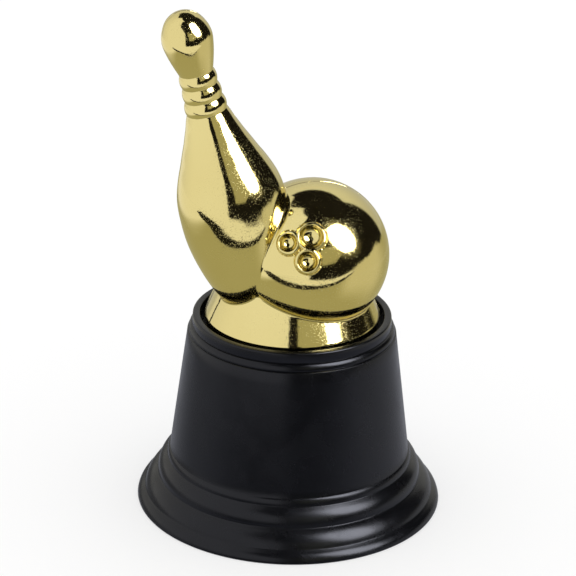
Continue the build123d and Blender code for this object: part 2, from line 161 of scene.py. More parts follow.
# squared radius of the plinth along Z: skirt, lip and cone
zs = np.arange(36.5, 54.0, STEP)
rz = np.interp(zs, [36.5, 40.8, 41.1, 41.55, 54.0],
               [17.6, 17.6, PLINTH_R, PLINTH_R, PLINTH_R - PLINTH_SLOPE * (54.0 - PLINTH_LIP_Z)])
PLINTH_R2 = Table(36.5, STEP, gauss(rz, 3.5) ** 2)


# ---------------------------------------------------------------------------
# Form of the figure as a signed field, in the figure's own frame, millimetres
# ---------------------------------------------------------------------------
def join(a, b, k):
    """Union of two fields with a fillet of radius k."""
    return np.maximum(k, np.minimum(a, b)) - np.hypot(np.maximum(k - a, 0), np.maximum(k - b, 0))


def meet(a, b, k):
    """Intersection of two fields with a rounded edge of radius k."""
    return -join(-a, -b, k)


def turned(p2, table, x):
    """Field of a turned solid: p2 is the squared distance from the axis, x the place along it."""
    v, d = table(x)
    return (p2 - v) / np.sqrt(4 * p2 + d * d + 0.04)


ct, st = cos(rad(PIN_TILT)), sin(rad(PIN_TILT))
PIN_UP = np.array([-st, 0, ct])


def pin_field(p):
    q = p - PIN_C
    t = q @ PIN_UP
    return np.maximum(turned(np.maximum((q * q).sum(1) - t * t, 0), PIN_R2, t), -18.8 - t)


def dimple_frames():
    out = []
    for az, el, lip in DIMPLES:
        d = np.array([sin(rad(az)) * cos(rad(el)), -cos(rad(az)) * cos(rad(el)), sin(rad(el))]) @ TURN
        out.append((d, lip))
    return out


DIMPLE_D = dimple_frames()
LIP_W, LIP_RISE, BOWL_DEPTH = 0.56, 0.11, 1.60


def ball_field(p):
    q = p - BALL_C
    r = np.sqrt((q * q).sum(1))
    f = r - BALL_R
    near = np.zeros(len(p), bool)
    for d, lip in DIMPLE_D:
        near |= (((q - d * BALL_R) ** 2).sum(1) < (lip + 2.2) ** 2)
    if near.any():
        g, qq = f[near], q[near]
        cut = np.full(len(g), 1e9)
        ring = np.full(len(g), 1e9)
        groove = np.full(len(g), 1e9)
        for d, lip in DIMPLE_D:
            h = qq @ d
            s = np.sqrt(np.maximum((qq * qq).sum(1) - h * h, 0))
            lr = lip - LIP_W * 0.95
            hl = math.sqrt(BALL_R ** 2 - lr ** 2) + LIP_RISE
            ring = np.minimum(ring, np.hypot(s - lr, h - hl) - LIP_W)
            lg = lr + LIP_W + 0.03
            groove = np.minimum(groove, np.hypot(s - lg, h - math.sqrt(BALL_R ** 2 - lg ** 2) - 0.05) - 0.17)
            rim = lr - LIP_W * 0.30
            br = (rim * rim + BOWL_DEPTH ** 2) / (2 * BOWL_DEPTH)
            hb = hl + LIP_W * 0.55 + br - BOWL_DEPTH
            cut = np.minimum(cut, np.hypot(s, h - hb) - br)
        g = meet(g, -groove, 0.05)
        g = join(g, ring, 0.06)
        g = meet(g, -cut, 0.20)
        f = f.copy()
        f[near] = g
    return f


def plinth_field(p):
    p2 = p[:, 0] ** 2 + p[:, 1] ** 2
    side = turned(p2, PLINTH_R2, p[:, 2])
    top = (p[:, 2] - (PLINTH_TOP_Z + 1.7 - p2 / 14.4 ** 2 * 0.75)) * 0.99
    return meet(side, top, 1.1)


def outer_field(p):
    f = join(join(pin_field(p), ball_field(p), 0.34), plinth_field(p), 0.30)
    return np.maximum(f, WELL_FLOOR_Z - p[:, 2])


def hex_field(p, half):
    x, y = np.abs(p[:, 0]), np.abs(p[:, 1])
    return np.maximum(y * 0.5 + x * 0.8660254, y) - half


def hollow_field(p, rear):
    """The hollow inside the figure, with the boss round the bolt head and the peg bosses standing in it."""
    q = p - PIN_C
    t = q @ PIN_UP
    pin = turned(np.maximum((q * q).sum(1) - t * t, 0), PIN_R2, t) + FIG_WALL
    pin = np.maximum(pin, t - 21.5)
    ball = np.sqrt(((p - BALL_C) ** 2).sum(1)) - (BALL_R - 2.8)
    p2 = p[:, 0] ** 2 + p[:, 1] ** 2
    pl = np.maximum(turned(p2, PLINTH_R2, p[:, 2]) + FIG_WALL, p[:, 2] - (PLINTH_TOP_Z - FIG_WALL))
    f = np.minimum(np.minimum(pin, ball), pl)
    f = np.maximum(f, WELL_FLOOR_Z + WEB_T - p[:, 2])
    s = np.sqrt(p2)
    f = np.maximum(f, -np.maximum(s - 7.6, p[:, 2] - (WELL_FLOOR_Z + WEB_T + BOLT_HEAD_H + 1.6)))
    for x, z in PEGS:
        f = np.maximum(f, -(np.hypot(p[:, 0] - x, p[:, 2] - z) - PEG_BOSS_R))
    pocket = np.maximum(hex_field(p, BOLT_AF / 2 + 0.1),
                        np.abs(p[:, 2] - (WELL_FLOOR_Z + WEB_T + BOLT_HEAD_H / 2 + 0.05)) - BOLT_HEAD_H / 2 - 0.05)
    shank = np.maximum(s - BOLT_R - 0.15, np.abs(p[:, 2] - (WELL_FLOOR_Z + 0.5)) - 2.0)
    f = np.minimum(f, np.minimum(pocket, shank))
    if rear:
        for x, z in PEGS:
            c = np.maximum(np.hypot(p[:, 0] - x, p[:, 2] - z) - PEG_R - PEG_CLEAR,
                           np.abs(p[:, 1] - PARTING_Y) - PEG_LEN - 0.3)
            f = np.minimum(f, c)
    return f


def gradient(field, p, e=2e-4):
    g = np.empty_like(p)
    for a in range(3):
        d = np.zeros(3)
        d[a] = e
        g[:, a] = (field(p + d) - field(p - d)) / (2 * e)
    return g


def settle(field, p, rounds=4, step=0.25):
    """Moves points onto the field's surface along its gradient."""
    p = p.copy()
    for _ in range(rounds):
        g = gradient(field, p)
        g2 = np.maximum((g * g).sum(1), 0.05)
        move = -(field(p) / g2)[:, None] * g
        size = np.sqrt((move * move).sum(1))
        p += move * np.minimum(1, step / np.maximum(size, 1e-9))[:, None]
    return p


def surface_net(field, lo, hi, h, block=4):
    """Quads and points of the surface where field is zero, on a grid of step h."""
    lo, hi = np.array(lo, float), np.array(hi, float)
    n = (np.ceil((hi - lo) / h / block).astype(int)) * block
    b = n // block
    c = [lo[a] + (np.arange(b[a]) + 0.5) * block * h for a in range(3)]
    cc = np.stack(np.meshgrid(*c, indexing="ij"), -1).reshape(-1, 3)
    fc = field(cc).reshape(b)
    near = np.abs(fc) < block * h * 0.87 * 1.25 + 0.5
    up = near.repeat(block, 0).repeat(block, 1).repeat(block, 2)
    sign = (fc < 0).repeat(block, 0).repeat(block, 1).repeat(block, 2)
    mask = np.zeros(n + 1, bool)
    inside = np.pad(sign, ((0, 1), (0, 1), (0, 1)), mode="edge")
    for i in (0, 1):
        for j in (0, 1):
            for k in (0, 1):
                mask[i:n[0] + i, j:n[1] + j, k:n[2] + k] |= up
    f = np.where(inside, -1e3, 1e3)
    idx = np.argwhere(mask)
    f[mask] = field(lo + idx * h)
    s = f < 0
    cells, points, quads, flips = [], [], [], []
    for a in range(3):
        u, v = (a + 1) % 3, (a + 2) % 3
        sl0, sl1 = [slice(None)] * 3, [slice(None)] * 3
        sl0[a], sl1[a] = slice(0, -1), slice(1, None)
        e = np.argwhere(s[tuple(sl0)] != s[tuple(sl1)])
        e = e[(e[:, u] > 0) & (e[:, v] > 0) & (e[:, u] < n[u]) & (e[:, v] < n[v])]
        g = e.copy()
        g[:, a] += 1
        f0, f1 = f[tuple(e.T)], f[tuple(g.T)]
        w = f0 / (f0 - f1)
        x = e.astype(float)
        x[:, a] += w
        four = []
        for du, dv in ((-1, -1), (0, -1), (0, 0), (-1, 0)):
            q = e.copy()
            q[:, u] += du
            q[:, v] += dv
            lin = (q[:, 0] * n[1] + q[:, 1]) * n[2] + q[:, 2]
            four.append(lin)
            cells.append(lin)
            points.append(x)
        quads.append(np.stack(four, 1))
        flips.append(f0 > f1)
    cells, points = np.concatenate(cells), np.concatenate(points)
    quads, flips = np.concatenate(quads), np.concatenate(flips)
    ids, inv = np.unique(cells, return_inverse=True)
    count = np.bincount(inv)
    p = np.stack([np.bincount(inv, points[:, a]) / count for a in range(3)], 1)
    quads = np.searchsorted(ids, quads)
    quads[flips] = quads[flips][:, ::-1]
    return lo + p * h, quads


def to_bmesh(points, faces):
    me = bpy.data.meshes.new("work")
    me.from_pydata(points.tolist(), [], faces.tolist())
    bm = bmesh.new()
    bm.from_mesh(me)
    bpy.data.meshes.remove(me)
    return bm


def coords(bm):
    return np.array([v.co[:] for v in bm.verts], float)


def refine(bm, field, angle, rounds):
    """Halves the edges across which the surface turns by more than angle, and settles the new points."""
    for _ in range(rounds):
        bm.verts.index_update()
        p = coords(bm)
        g = gradient(field, p)
        g /= np.maximum(np.sqrt((g * g).sum(1)), 1e-9)[:, None]
        e = np.array([(x.verts[0].index, x.verts[1].index) for x in bm.edges])
        turn = (g[e[:, 0]] * g[e[:, 1]]).sum(1) < cos(rad(angle))
        bm.edges.ensure_lookup_table()
        pick = [bm.edges[i] for i in np.nonzero(turn)[0]]
        old = len(bm.verts)
        bmesh.ops.subdivide_edges(bm, edges=pick, cuts=1, use_grid_fill=True)
        bm.verts.ensure_lookup_table()
        p = coords(bm)
        new = settle(field, p[old:], 3, 0.12)
        for i, c in enumerate(new):
            bm.verts[old + i].co = c


def drop_islands(bm, least):
    """Removes bits of fewer than least faces that hang on the rest by no ordinary edge."""
    seen, doomed = set(), []
    for face in bm.faces:
        if face in seen:
            continue
        seen.add(face)
        stack, bit = [face], []
        while stack:
            a = stack.pop()
            bit.append(a)
            for e in a.edges:
                if len(e.link_faces) == 2:
                    for b in e.link_faces:
                        if b not in seen:
                            seen.add(b)
                            stack.append(b)
        if len(bit) < least:
            doomed += bit
    bmesh.ops.delete(bm, geom=doomed, context="FACES")


def unfold(bm, field, rounds):
    """Evens out the few places where the skin is folded back on itself."""
    for _ in range(rounds):
        bm.normal_update()
        fs = list(bm.faces)
        c = np.array([x.calc_center_median()[:] for x in fs])
        n = np.array([x.normal[:] for x in fs])
        bad = np.nonzero((gradient(field, c) * n).sum(1) < 0.0)[0]
        if not len(bad):
            break
        move = {v for i in bad for v in fs[i].verts}
        to = {v: sum((e.other_vert(v).co for e in v.link_edges), Vector()) / len(v.link_edges) for v in move}
        for v, co in to.items():
            v.co = co


SEAM_W, SEAM_D = 0.10, 0.11     # half width and depth of the parting groove


def figure_half(name, outer, rear):
    """One half of the figure: outer skin, hollow, parting face and pegs, as a closed mesh."""
    side = 1.0 if rear else -1.0
    bm = outer.copy()
    # the hollow, turned inside out
    hp, hq = surface_net(lambda p: hollow_field(p, rear), (-31, -19 + 0.0, 36.0), (21, 16, 88), 0.7)
    hp = settle(lambda p: hollow_field(p, rear), hp, 3, 0.3)
    base = len(bm.verts)
    made = [bm.verts.new(c) for c in hp]
    for q in hq:
        try:
            bm.faces.new([made[i] for i in q[::-1]])
        except ValueError:
            pass
    n = Vector((0, side, 0))
    geom = lambda: bm.verts[:] + bm.edges[:] + bm.faces[:]
    bmesh.ops.bisect_plane(bm, geom=geom(), dist=1e-5, plane_co=(0, PARTING_Y, 0), plane_no=n, clear_inner=True)
    bmesh.ops.bisect_plane(bm, geom=geom(), dist=1e-5, plane_co=(0, PARTING_Y + side * SEAM_W, 0), plane_no=n)
    bm.verts.ensure_lookup_table()
    # shank opening through the bottom face
    for f in [f for f in bm.faces if abs(f.normal.z) > 0.9 and f.calc_center_median().z < WELL_FLOOR_Z + 0.2
              and math.hypot(f.calc_center_median().x, f.calc_center_median().y) < BOLT_R + 0.1]:
        bm.faces.remove(f)
    # parting groove: the outer loop on the parting plane moves in
    rim = [v for v in bm.verts if abs(v.co.y - PARTING_Y) < 1e-4]
    p = np.array([v.co[:] for v in rim])
    fo = outer_field(p)
    g = gradient(outer_field, p)
    g /= np.maximum(np.sqrt((g * g).sum(1)), 1e-9)[:, None]
    for v, f, d in zip(rim, fo, g):
        if abs(f) < 0.05:
            d = Vector((d[0], 0, d[2]))
            v.co -= d.normalized() * SEAM_D if d.length > 0.2 else Vector()
    edges = [e for e in bm.edges if e.is_boundary and all(abs(v.co.y - PARTING_Y) < 1e-3 for v in e.verts)]
    bmesh.ops.triangle_fill(bm, use_beauty=False, use_dissolve=False, edges=edges, normal=-n)
    loose = [v for v in bm.verts if not v.link_faces]
    bmesh.ops.delete(bm, geom=loose, context="VERTS")
    # wall of the shank opening
    ring = [e for e in bm.edges if e.is_boundary and all(
        v.co.z < WELL_FLOOR_Z + 1.5 and math.hypot(v.co.x, v.co.y) < BOLT_R + 1.2 for v in e.verts)]
    for v in {v for e in ring for v in e.verts}:
        k = (BOLT_R + (0.15 if v.co.z < WELL_FLOOR_Z - 0.2 else 0.30)) / math.hypot(v.co.x, v.co.y)
        v.co = (v.co.x * k, v.co.y * k, WELL_FLOOR_Z)
    if ring:
        bmesh.ops.bridge_loops(bm, edges=ring)
    for v in bm.verts:
        if v.co.z < WELL_FLOOR_Z - 0.01:
            v.co.z = WELL_FLOOR_Z + 0.02
    if not rear:
        for x, z in PEGS:
            m = Matrix.Translation((x, PARTING_Y + PEG_LEN / 2 - 0.4, z)) @ Matrix.Rotation(rad(90), 4, "X")
            bmesh.ops.create_cone(bm, cap_ends=True, segments=40, radius1=PEG_R - 0.25, radius2=PEG_R,
                                  depth=PEG_LEN + 0.8, matrix=m)
    bmesh.ops.triangulate(bm, faces=[f for f in bm.faces if len(f.verts) > 4])
    me = bpy.data.meshes.new(name)
    bm.to_mesh(me)
    bm.free()
    # shading normals: exact on the skin, plain elsewhere
    nv = len(me.vertices)
    co = np.empty(nv * 3, np.float32)
    me.vertices.foreach_get("co", co)
    co = co.reshape(-1, 3).astype(float)
    fo = outer_field(co)
    g = gradient(outer_field, co)
    g /= np.maximum(np.sqrt((g * g).sum(1)), 1e-9)[:, None]
    loops = np.empty(len(me.loops), np.int32)
    me.loops.foreach_get("vertex_index", loops)
    nf = len(me.polygons)
    start, total = np.empty(nf, np.int32), np.empty(nf, np.int32)
    me.polygons.foreach_get("loop_start", start)
    me.polygons.foreach_get("loop_total", total)
    fn = np.empty(nf * 3, np.float32)
    me.polygons.foreach_get("normal", fn)
    fn = fn.reshape(-1, 3)
    owner = np.repeat(np.arange(nf), total)
    skin = (np.abs(fo) < 0.02) & (co[:, 2] > WELL_FLOOR_Z + 0.05)
    ok = skin[loops] & ((g[loops] * fn[owner]).sum(1) > 0.35)
    face_ok = np.bincount(owner, ok, nf) >= total
    use = face_ok[owner]
    normals = np.where(use[:, None], g[loops], fn[owner])
    world = TURN @ co.T * MM
    me.vertices.foreach_set("co", world.T.astype(np.float32).ravel())
    me.polygons.foreach_set("use_smooth", np.ones(nf, bool))
    me.update()
    me.normals_split_custom_set((normals @ TURN.T).tolist())
    o = bpy.data.objects.new(name, me)
    bpy.context.scene.collection.objects.link(o)
    return o


ny = math.ceil(20 / VOXEL)
pts, quads = surface_net(outer_field, (-33, PARTING_Y - ny * VOXEL, 36.6), (22, 18, 109.4), VOXEL)
pts = settle(outer_field, pts, 4)
skin = to_bmesh(pts, quads)
refine(skin, outer_field, 11, 2)
drop_islands(skin, 1000)
unfold(skin, outer_field, 8)
front = figure_half("figure_front", skin, False)
rear = figure_half("figure_rear", skin, True)
skin.free()


# ---------------------------------------------------------------------------
# Base shell: turned from the CAD outline, its creases eased as a moulding's are
# ---------------------------------------------------------------------------
def base_outline():
    rows = [[(18.81, 37.35), (18.81, 41.10)],
            arc3((18.81, 41.10), (18.885, 41.275), (19.06, 41.35), 8),
            [(19.91, 41.35)],
            arc3((19.91, 41.35), (20.193, 41.233), (20.31, 40.95), 10),
            [(20.44, 39.31), (20.26, 39.15), (20.62, 39.03)],
            arc3((20.62, 39.03), (20.98, 38.48), (21.12, 37.80), 12),
            [(20.95, 37.66), (21.38, 37.50), (24.76, 11.35), (24.96, 11.18)],
            arc3((24.96, 11.18), (25.24, 10.50), (25.36, 9.78), 12),
            [(25.60, 9.56)],
            arc3((25.60, 9.56), (26.85, 7.97), (27.28, 6.00), 28),
            [(27.52, 5.80)],
            arc3((27.52, 5.80), (29.03, 4.37), (29.92, 2.50), 28),
            [(30.16, 2.32)],
            arc3((30.16, 2.32), (31.05, 1.45), (31.50, 0.30), 20),
            arc3((31.50, 0.30), (31.44, 0.09), (31.24, 0.0), 8),
            [(28.2, 0.0), (28.2, 3.0), (27.0, 3.0), (24.9, 6.2), (23.2, 9.2), (22.65, 11.2), (19.45, 35.15),
             (6.0, 35.15), (6.0, 22.0), (2.75, 22.0), (2.75, 37.35), (18.81, 37.35)]]
    p = np.concatenate([np.array(r, float) for r in rows])
    keep = np.concatenate([[True], np.hypot(*np.diff(p, axis=0).T) > 1e-6])
    return p[keep]


def ease(p, step, sigma):
    """Even samples along a closed outline with its corners rounded, and the unit tangent at each."""
    s = np.concatenate([[0], np.cumsum(np.hypot(*np.diff(p, axis=0).T))])
    n = int(s[-1] / step)
    u = np.linspace(0, s[-1], n, endpoint=False)
    q = np.stack([np.interp(u, s, p[:, a]) for a in (0, 1)], 1)
    k = np.arange(-int(5 * sigma / step) - 1, int(5 * sigma / step) + 2)
    w = np.exp(-0.5 * (k * step / sigma) ** 2)
    w /= w.sum()
    q = sum(wi * np.roll(q, -ki, axis=0) for wi, ki in zip(w, k))
    t = np.roll(q, -1, axis=0) - np.roll(q, 1, axis=0)
    t /= np.hypot(*t.T)[:, None]
    return q, t


def thin(q, t, tol, turn):
    """Indices of the samples to keep: enough that the outline stays within tol and normals turn gently."""
    keep = [0]
    n = len(q)
    i = 0
    while i < n - 1:
        j = i + 1
        while j + 1 < n:
            a, b = q[i], q[j + 1]
            d = b - a
            L = math.hypot(*d)
            seg = q[i + 1:j + 1] - a
            off = np.abs(seg[:, 0] * d[1] - seg[:, 1] * d[0]).max() / max(L, 1e-9)
            if off > tol or t[i] @ t[j + 1] < cos(rad(turn)) or L > 2.5:
                break
            j += 1
        keep.append(j)
        i = j
    return keep[:-1] if keep[-1] == n - 1 else keep


def lathe(name, q, normal, segments, wobble=None):
    """A closed outline turned about Z, with exact shading normals. Points out in the outline's units, millimetres here.
    """
    n = len(q)
    a = np.linspace(0, 2 * math.pi, segments, endpoint=False)
    c, s = np.cos(a), np.sin(a)
    r, z = q[:, 0], q[:, 1]
    v = np.stack([np.outer(c, r), np.outer(s, r), np.broadcast_to(z, (segments, n))], -1)
    nn = np.stack([np.outer(c, normal[:, 0]), np.outer(s, normal[:, 0]),
                   np.broadcast_to(normal[:, 1], (segments, n))], -1)
    i = np.arange(segments)[:, None] * n
    j = np.roll(np.arange(segments), -1)[:, None] * n
    k = np.arange(n)[None, :]
    l = np.roll(np.arange(n), -1)[None, :]
    f = np.stack([i + k, i + l, j + l, j + k], -1).reshape(-1, 4)
    return v.reshape(-1, 3), nn.reshape(-1, 3), f


def mesh_object(name, parts):
    """Joins (points, normals or None, faces) parts, in millimetres, into one object; None means flat shading."""
    vs, fs, ns = [], [], []
    base = 0
    for v, nn, f in parts:
        v = np.asarray(v, float)
        vs.append(v)
        for face in f:
            fs.append([int(x) + base for x in face])
            if nn is None:
                p = v[np.asarray(face)]
                m = np.zeros(3)
                for a in range(len(p)):
                    m += np.cross(p[a], p[(a + 1) % len(p)])
                m /= max(np.linalg.norm(m), 1e-12)
                ns.extend([m] * len(face))
            else:
                ns.extend(nn[np.asarray(face)])
        base += len(v)
    me = bpy.data.meshes.new(name)
    me.from_pydata((np.concatenate(vs) * MM).tolist(), [], fs)
    me.polygons.foreach_set("use_smooth", np.ones(len(me.polygons), bool))
    me.update()
    me.normals_split_custom_set([list(x) for x in ns])
    o = bpy.data.objects.new(name, me)
    bpy.context.scene.collection.objects.link(o)
    return o


def block(lo, hi, turn):
    x0, y0, z0 = lo
    x1, y1, z1 = hi
    v = np.array([(x, y, z) for z in (z0, z1) for y in (y0, y1) for x in (x0, x1)], float)
    c, s = cos(turn), sin(turn)
    v = v @ np.array([[c, s, 0], [-s, c, 0], [0, 0, 1]])
    f = [(0, 2, 3, 1), (4, 5, 7, 6), (0, 1, 5, 4), (2, 6, 7, 3), (0, 4, 6, 2), (1, 3, 7, 5)]
    return v, None, f


def tube(cx, cy, r0, r1, z0, z1, n=40):
    """A ring-section post; its bore is open at the bottom."""
    a = np.linspace(0, 2 * math.pi, n, endpoint=False)
    loop = lambda r, z: np.stack([cx + r * np.cos(a), cy + r * np.sin(a), np.full(n, z)], 1)
    v = np.concatenate([loop(r1, z0), loop(r1, z1), loop(r0, z1 - 1.0), loop(r0, z0)])
    f = []
    for i in range(n):
        j = (i + 1) % n
        f += [(i, j, n + j, n + i), (2 * n + j, 3 * n + j, 3 * n + i, 2 * n + i),
              (3 * n + i, 3 * n + j, j, i)]
    f.append(tuple(n + i for i in range(n)))
    f.append(tuple(2 * n + i for i in reversed(range(n))))
    return v, None, f


bq, bt = ease(base_outline(), 0.02, 0.055)
pick = thin(bq, bt, 0.006, 9)
bn = np.stack([-bt[:, 1], bt[:, 0]], 1)
# the outline runs up the well and down the outside, so its left side is outward
SEG = 288
pv, pn, pf = lathe("base", bq[pick], bn[pick], SEG)
parts = [(pv, pn, pf)]
for i in range(6):
    parts.append(block((5.6, -0.8, 22.0), (20.6, 0.8, 35.3), rad(60 * i)))
for i in range(3):
    a = rad(30 + 120 * i)
    parts.append(tube(21 * cos(a), 21 * sin(a), 1.45, 3.0, 3.02, 12.0))
base = mesh_object("base_moulding", parts)


# ---------------------------------------------------------------------------
# Felt disc: thick, soft-edged, with a matted surface
# ---------------------------------------------------------------------------
def felt_disc():
    rng = np.random.default_rng(7)
    R, T = 28.0, 1.0
    rings_r = np.concatenate([np.linspace(0.0, R - 1.2, 60)[1:], R - 1.2 + 1.2 * np.sin(np.linspace(0.12, 1, 9) * math.pi / 2)])
    n = 220
    a = np.linspace(0, 2 * math.pi, n, endpoint=False)
    # smooth value noise on the plane
    size, cell = 96, 0.65
    grids = [rng.random((size, size)) for _ in range(3)]

    def noise(x, y, g, scale):
        u, v = (x / scale) % size, (y / scale) % size
        i, j = np.floor(u).astype(int), np.floor(v).astype(int)
        fu, fv = u - i, v - j
        fu, fv = fu * fu * (3 - 2 * fu), fv * fv * (3 - 2 * fv)
        g00, g10 = g[i % size, j % size], g[(i + 1) % size, j % size]
        g01, g11 = g[i % size, (j + 1) % size], g[(i + 1) % size, (j + 1) % size]
        return (g00 * (1 - fu) + g10 * fu) * (1 - fv) + (g01 * (1 - fu) + g11 * fu) * fv

    def sheet(z_of):
        v = [(0.0, 0.0, z_of(np.array([0.0]), np.array([0.0]), 0.0)[0])]
        for r in rings_r:
            edge = r / R
            rr = r * (1 + 0.0016 * (noise(40 + 14 * np.cos(a), 40 + 14 * np.sin(a), grids[2], 1.0) - 0.9) * edge ** 8)
            x, y = rr * np.cos(a), rr * np.sin(a)
            drop = max(0.0, (r - (R - 1.2)) / 1.2)
            z = z_of(x, y, drop)
            v += list(zip(x, y, z))
        return np.array(v)

    bump = lambda x, y: 0.6 * noise(x + 40, y + 40, grids[0], cell) + 0.4 * noise(x + 47, y + 43, grids[1], 2.1)
    lower = sheet(lambda x, y, d: 0.10 * bump(x, y) + 0.42 * (1 - math.sqrt(max(0.0, 1 - d * d))) * np.ones_like(x))
    upper = sheet(lambda x, y, d: T - 0.08 * bump(y, x) - 0.42 * (1 - math.sqrt(max(0.0, 1 - d * d))) * np.ones_like(x))
    k = len(lower)
    rows = len(rings_r)
    f = []
    for off, flip in ((0, True), (k, False)):
        for i in range(n):
            j = (i + 1) % n
            t = (off, off + 1 + i, off + 1 + j)
            f.append(t[::-1] if flip else t)
            for m in range(rows - 1):
                b0, b1 = off + 1 + m * n, off + 1 + (m + 1) * n
                q = (b0 + i, b1 + i, b1 + j, b0 + j)
                f.append(q[::-1] if flip else q)
    l0, u0 = 1 + (rows - 1) * n, k + 1 + (rows - 1) * n
    for i in range(n):
        j = (i + 1) % n
        f.append((l0 + i, l0 + j, u0 + j, u0 + i))
    me = bpy.data.meshes.new("felt_disc")
    me.from_pydata((np.concatenate([lower, upper]) * MM).tolist(), [], f)
    me.polygons.foreach_set("use_smooth", np.ones(len(me.polygons), bool))
    me.update()
    o = bpy.data.objects.new("felt_disc", me)
    bpy.context.scene.collection.objects.link(o)
    return o


felt = felt_disc()

for piece, node in ((front, "figure_front_shell"), (rear, "figure_rear_shell"), (base, "base_shell"), (felt, "felt_pad")):
    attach(piece, "root")
    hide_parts(node)


# ---------------------------------------------------------------------------
# Node helpers
# ---------------------------------------------------------------------------
class Net:
    def __init__(self, tree):
        self.t = tree
        tree.nodes.clear()

    def node(self, kind, **inputs):
        n = self.t.nodes.new(kind)
        for k, v in inputs.items():
            setattr(n, k, v)
        return n

    def put(self, socket, value):
        if isinstance(value, bpy.types.NodeSocket):
            self.t.links.new(value, socket)
        else:
            socket.default_value = value

    def math(self, op, a, b=None, c=None, clamp=False):
        n = self.t.nodes.new("ShaderNodeMath")
        n.operation, n.use_clamp = op, clamp
        for i, v in enumerate((a, b, c)):
            if v is not None:
                self.put(n.inputs[i], v)
        return n.outputs[0]

    def ramp(self, x, a, b, lo=0.0, hi=1.0, smooth=True):
        n = self.t.nodes.new("ShaderNodeMapRange")
        n.interpolation_type = "SMOOTHSTEP" if smooth else "LINEAR"
        for i, v in enumerate((x, a, b, lo, hi)):
            self.put(n.inputs[i], v)
        return n.outputs[0]

    def mix(self, f, a, b):
        n = self.t.nodes.new("ShaderNodeMix")
        n.data_type = "RGBA"
        for name, v in (("Factor", f), ("A", a), ("B", b)):
            s = [x for x in n.inputs if x.name == name and (x.type == "RGBA" or name == "Factor" and x.type == "VALUE")][0]
            if not isinstance(v, bpy.types.NodeSocket) and name != "Factor":
                v = tuple(v) + ((1.0,) if len(v) == 3 else ())
            self.put(s, v)
        return [x for x in n.outputs if x.type == "RGBA"][0]

    def noise(self, vector, scale, detail=2.0, rough=0.5, distortion=0.0):
        n = self.t.nodes.new("ShaderNodeTexNoise")
        self.put(n.inputs["Vector"], vector)
        n.inputs["Scale"].default_value = scale
        n.inputs["Detail"].default_value = detail
        n.inputs["Roughness"].default_value = rough
        n.inputs["Distortion"].default_value = distortion
        return n.outputs[0]

    def bump(self, height, distance, strength=1.0, normal=None):
        n = self.t.nodes.new("ShaderNodeBump")
        n.inputs["Strength"].default_value = strength
        n.inputs["Distance"].default_value = distance
        self.put(n.inputs["Height"], height)
        if normal is not None:
            self.put(n.inputs["Normal"], normal)
        return n.outputs[0]


def material(name):
    m = bpy.data.materials.new(name)
    m.use_nodes = True
    net = Net(m.node_tree)
    out = net.node("ShaderNodeOutputMaterial")
    bsdf = net.node("ShaderNodeBsdfPrincipled")
    net.t.links.new(bsdf.outputs[0], out.inputs[0])
    where = net.node("ShaderNodeTexCoord").outputs["Object"]
    return m, net, bsdf, where


# ---- gold: vacuum plated plastic under a thin lacquer, shaded as bare metal ---
gold, g, b, w = material("gold_plating")
tone = g.noise(w, 55, 2)
g.put(b.inputs["Base Color"], g.mix(g.ramp(tone, 0.35, 0.65), (0.795, 0.690, 0.320), (0.770, 0.663, 0.298)))
b.inputs["Metallic"].default_value = 1.0
haze = g.ramp(g.noise(w, 320, 3, 0.6), 0.35, 0.75, 0.035, 0.075)
fleck = g.ramp(g.noise(w, 4300, 2.0, 0.6), 0.54, 0.72)          # tiny matt flecks in the plating
patch = g.ramp(g.noise(w, 120, 3, 0.6), 0.38, 0.60, 0.35, 1.0)
g.put(b.inputs["Roughness"], g.math("ADD", haze, g.math("MULTIPLY", g.math("MULTIPLY", fleck, patch), 0.35)))
peel = g.noise(w, 1500, 2, 0.5)
grain = g.noise(w, 4200, 1.5, 0.5)
height = g.math("ADD", peel, g.math("MULTIPLY", g.math("MULTIPLY", g.math("ADD", grain, fleck), patch), 0.85))
# the joint of the two halves shows as a dark, uneven line on the left of the plinth
sep = g.node("ShaderNodeSeparateXYZ")
g.put(sep.inputs[0], w)
across = g.math("SUBTRACT", g.math("MULTIPLY", sep.outputs[1], cos(rad(FIG_TURN)) / MM),
                g.math("MULTIPLY", sep.outputs[0], sin(rad(FIG_TURN)) / MM))
wander = g.math("MULTIPLY", g.math("SUBTRACT", g.noise(w, 900, 2), 0.5), 0.5)
off = g.math("ABSOLUTE", g.math("ADD", g.math("ADD", across, 0.15 - PARTING_Y), wander))
low = g.math("MULTIPLY", g.ramp(sep.outputs[2], 0.0470, 0.0464), g.math("MULTIPLY", g.ramp(off, 0.32, 0.19), g.ramp(sep.outputs[0], 0.0, -0.002)))
mark = g.math("MULTIPLY", low, g.ramp(g.noise(w, 2600, 1), 0.22, 0.34))
colour = b.inputs["Base Color"].links[0].from_socket
g.put(b.inputs["Base Color"], g.mix(mark, colour, (0.035, 0.028, 0.012)))
rough = b.inputs["Roughness"].links[0].from_socket
g.put(b.inputs["Roughness"], g.math("ADD", rough, g.math("MULTIPLY", mark, 0.5), clamp=True))
height = g.math("SUBTRACT", height, g.math("MULTIPLY", mark, 6.0))
g.put(b.inputs["Normal"], g.bump(height, 0.0000035, 1.0))

# ---- black: satin moulded plastic -----------------------------------------
black, g, b, w = material("black_plastic")
tone = g.noise(w, 90, 3)
g.put(b.inputs["Base Color"], g.mix(g.ramp(tone, 0.3, 0.7), (0.0020, 0.0021, 0.0027), (0.0034, 0.0036, 0.0045)))
b.inputs["IOR"].default_value = 1.50
b.inputs["Specular IOR Level"].default_value = 0.34
b.inputs["Specular Tint"].default_value = (0.82, 0.85, 1.0, 1.0)
smear = g.noise(w, 140, 4, 0.6, 0.6)
g.put(b.inputs["Roughness"], g.ramp(smear, 0.3, 0.75, 0.22, 0.31))
skin_tex = g.noise(w, 5200, 2, 0.55)
g.put(b.inputs["Normal"], g.bump(skin_tex, 0.000004, 1.0))

